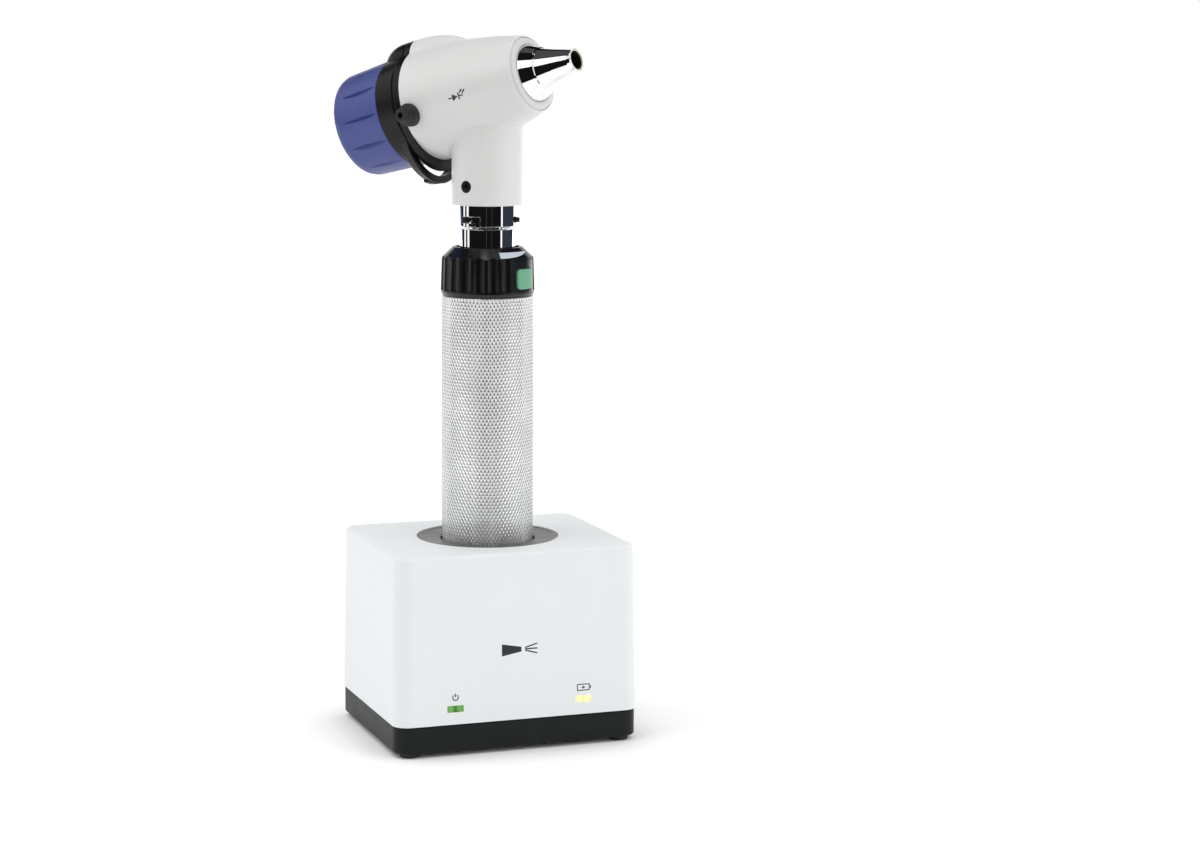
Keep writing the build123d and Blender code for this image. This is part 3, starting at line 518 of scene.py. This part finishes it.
def on_front(x_centre, z_centre):
    """Placement on the front of the stand."""
    surface = surface_of("charger_housing")
    inward = Vector((0, 1, 0))

    def place(x, y, lift):
        start = Vector((x_centre + x * MM, -0.2, z_centre + y * MM))
        return surface.ray_cast(start, inward)[0] - inward * lift
    return place


def on_head(along, around):
    """Placement on the barrel of the head, at a distance along it and an angle around it from its top."""
    surface = surface_of("head_shell")
    turn = math.radians(around)
    outward = HEAD_UP * math.cos(turn) + HEAD_SIDE * math.sin(turn)
    upward = HEAD_UP * math.sin(turn) - HEAD_SIDE * math.cos(turn)

    def place(x, y, lift):
        start = HEAD_CENTRE + HEAD_AXIS * (along + x * MM) + upward * y * MM + outward * 0.1
        return surface.ray_cast(start, -outward)[0] + outward * lift
    return place


def printed_mark(name, body, outlines, place):
    """Ink on a surface: outlines laid on with place(x, y, lift) and given a thickness."""
    bm = bmesh.new()
    for outline in outlines:
        bm.faces.new([bm.verts.new((x, y, 0)) for x, y in outline])
    bm.normal_update()
    bmesh.ops.triangulate(bm, faces=bm.faces)
    for _ in range(3):
        long_edges = [e for e in bm.edges if e.calc_length() > INK_STEP]
        bmesh.ops.subdivide_edges(bm, edges=long_edges, cuts=1)
    bmesh.ops.triangulate(bm, faces=bm.faces)
    raised = bmesh.ops.extrude_face_region(bm, geom=bm.faces, use_keep_orig=True)["geom"]
    above = {v for v in raised if isinstance(v, bmesh.types.BMVert)}
    for vert in bm.verts:
        vert.co = place(vert.co.x, vert.co.y, INK if vert in above else -INK)
    bmesh.ops.recalc_face_normals(bm, faces=bm.faces)
    add_piece(bm, name, print_grey, body)


printed_mark("light_cone_mark", "charger", light_cone(), on_front(*LIGHT_CONE_PLACE))
printed_mark("power_mark", "charger", power_symbol(), on_front(*POWER_MARK_PLACE))
printed_mark("battery_mark", "charger", battery_symbol(), on_front(*BATTERY_MARK_PLACE))
printed_mark("led_mark", "head", led_symbol(), on_head(LED_MARK_ALONG, LED_MARK_AROUND))


# ---------------------------------------------------------------- camera
CAMERA_PLACE = Vector((-0.268996, -0.826548, 0.221452))
CAMERA_HEADING = math.radians(-20.3891)   # round from -Y
CAMERA_DOWN = math.radians(8.0565)        # how far it looks down
CAMERA_ROLL = math.radians(0.3491)
CAMERA_TURN = (Matrix.Rotation(CAMERA_HEADING, 4, "Z") @ Matrix.Rotation(math.pi / 2 - CAMERA_DOWN, 4, "X")
               @ Matrix.Rotation(CAMERA_ROLL, 4, "Z"))
CAMERA_BACK = CAMERA_TURN.to_3x3() @ Vector((0, 0, 1))
FOCAL_LENGTH = 82.64          # millimetres, on a film 36 mm wide
FILM_WIDTH = 36.0


def camera():
    """Camera of the main view."""
    lens = bpy.data.cameras.new("camera")
    lens.sensor_width = FILM_WIDTH
    lens.lens = FOCAL_LENGTH
    lens.clip_start = 0.01
    eye = bpy.data.objects.new("camera", lens)
    eye.matrix_world = Matrix.Translation(CAMERA_PLACE) @ CAMERA_TURN
    bpy.context.scene.collection.objects.link(eye)
    bpy.context.scene.camera = eye


# ---------------------------------------------------------------- floor and light
FLOOR_FRONT = 0.45            # how far the table runs towards the camera
FLOOR_BACK = 6.0
FLOOR_NEAR_SIDE = 1.4         # half its width at the front
FLOOR_FAR_SIDE = 3.0          # and at the back
FLOOR_WHITE = 0.94
AMBIENT = 0.98                # what matt surfaces see of the tent
AMBIENT_FRONT = 0.50          # and of the gap where the camera stands
DARKNESS = 0.007              # what shiny ones see between the cards
CARD_CENTRE = Vector((0, 0, 0.16))
KEY_SPREAD = math.radians(60)


def direction(around, elevation):
    """Unit vector away from the object. Angle 0 is the camera's side, and 90 is to its right."""
    heading = math.radians(around) + CAMERA_HEADING
    lift = math.radians(elevation)
    return Vector((math.sin(heading) * math.cos(lift), -math.cos(heading) * math.cos(lift), math.sin(lift)))


def add_lamp(name, light, way):
    """A lamp that stands in a direction and shines back along it."""
    lamp = bpy.data.objects.new(name, light)
    lamp.rotation_euler = way.to_track_quat("Z", "Y").to_euler()
    bpy.context.scene.collection.objects.link(lamp)
    return lamp


def card(name, around, elevation, span, glow, colour=(1, 1, 1), distance=0.9):
    """Reflector that only shiny surfaces see.

    Its place and its span, across and up, are in degrees, and a glow of 1 is white.
    """
    light = bpy.data.lights.new(name, "AREA")
    light.shape = "RECTANGLE"
    light.size, light.size_y = (2 * distance * math.tan(math.radians(angle) / 2) for angle in span)
    light.energy = glow * math.pi * light.size * light.size_y
    light.color = colour
    way = direction(around, elevation)
    lamp = add_lamp(name, light, way)
    lamp.location = CARD_CENTRE + way * distance
    lamp.visible_diffuse = False
    lamp.visible_camera = False


def key_light(name, around, elevation, strength):
    """Broad, even light with soft shadows, and no reflection of its own."""
    light = bpy.data.lights.new(name, "SUN")
    light.energy = strength
    light.angle = KEY_SPREAD
    lamp = add_lamp(name, light, direction(around, elevation))
    lamp.visible_glossy = False


def surroundings():
    """White light tent, dimmer where the camera stands. Shiny surfaces see the cards and the table."""
    world = bpy.data.worlds.new("studio")
    bpy.context.scene.world = world
    world.use_nodes = True
    tree = world.node_tree
    way = add(tree, "ShaderNodeTexCoord").outputs["Generated"]
    facing = add(tree, "ShaderNodeVectorMath", {0: way, 1: CAMERA_BACK}, operation="DOT_PRODUCT")
    ambient = remap(tree, facing.outputs["Value"], AMBIENT, AMBIENT_FRONT, 0.3, 0.9)
    path = add(tree, "ShaderNodeLightPath").outputs
    plain = remap(tree, path["Is Camera Ray"], ambient, 1.0, 0.0, 1.0)
    strength = remap(tree, path["Is Glossy Ray"], plain, DARKNESS, 0.0, 1.0)
    feed(tree, tree.nodes["Background"], {"Color": (1.0, 1.0, 1.0, 1.0), "Strength": strength})


def floor():
    """White table that runs far back and ends a little way in front of the camera."""
    mesh = bpy.data.meshes.new("floor")
    front, right = direction(0, 0), direction(90, 0)
    corners = [front * along + right * across for along, across in (
        (FLOOR_FRONT, -FLOOR_NEAR_SIDE), (FLOOR_FRONT, FLOOR_NEAR_SIDE),
        (-FLOOR_BACK, FLOOR_FAR_SIDE), (-FLOOR_BACK, -FLOOR_FAR_SIDE))]
    mesh.from_pydata(corners, [], [(0, 1, 2, 3)])
    mat, tree, shader, coords = new_material("floor_white")
    white = (FLOOR_WHITE,) * 3
    grain = noise(tree, coords, 40 * MM)
    feed(tree, shader, {
        "Base Color": ramp(tree, grain, [(0.0, tinted(white, -0.01)), (1.0, tinted(white, 0.01))]),
        "Roughness": 0.8, "Specular IOR Level": 0.1})
    mesh.materials.append(mat)
    ground = bpy.data.objects.new("floor", mesh)
    bpy.context.scene.collection.objects.link(ground)


camera()
surroundings()
floor()
key_light("key_left", -75, 40, 0.72)
key_light("key_right", 60, 12, 1.0)
key_light("key_top", 0, 85, 0.4)

# Behind and above
card("backdrop", 173, 8, (99, 36), 0.95, distance=1.2)
card("zenith", 0, 90, (16, 16), 6.0)
card("ceiling", -120, 64, (60, 26), 0.06)

# Upright strips, which the chromed neck shows
card("blue_edge", -127, 0, (18, 12), 0.28, colour=(0.30, 0.42, 0.85))
card("left_far_strip", -101, 0, (10, 12), 1.1)
card("left_near_strip", -82, 0, (10, 12), 1.1)
card("faint_strip", -2, 0, (2, 12), 0.06, colour=(1.0, 0.85, 0.6))
card("faint_strip_right", 19, 0, (2, 12), 0.05, colour=(1.0, 0.85, 0.6))
card("right_strip", 60, 0, (7, 12), 1.2)
card("right_shade", 93, 0, (56, 12), 0.05, colour=(0.5, 0.7, 1.0), distance=1.0)

# Low and high cards, which the nose cone and the knurl show
card("left_low", -51, -18, (50, 21), 0.6, distance=0.32)
card("right_low", 57, -18, (46, 21), 0.6, distance=0.32)
card("left_high", -92, 30, (64, 36), 0.9)
card("front_high", -38, 41, (30, 33), 1.3)
card("right_high", 88, 31, (66, 36), 0.95)
card("front_right_high", 28, 34, (36, 34), 0.5)
bpy.context.scene.view_settings.view_transform = "Standard"
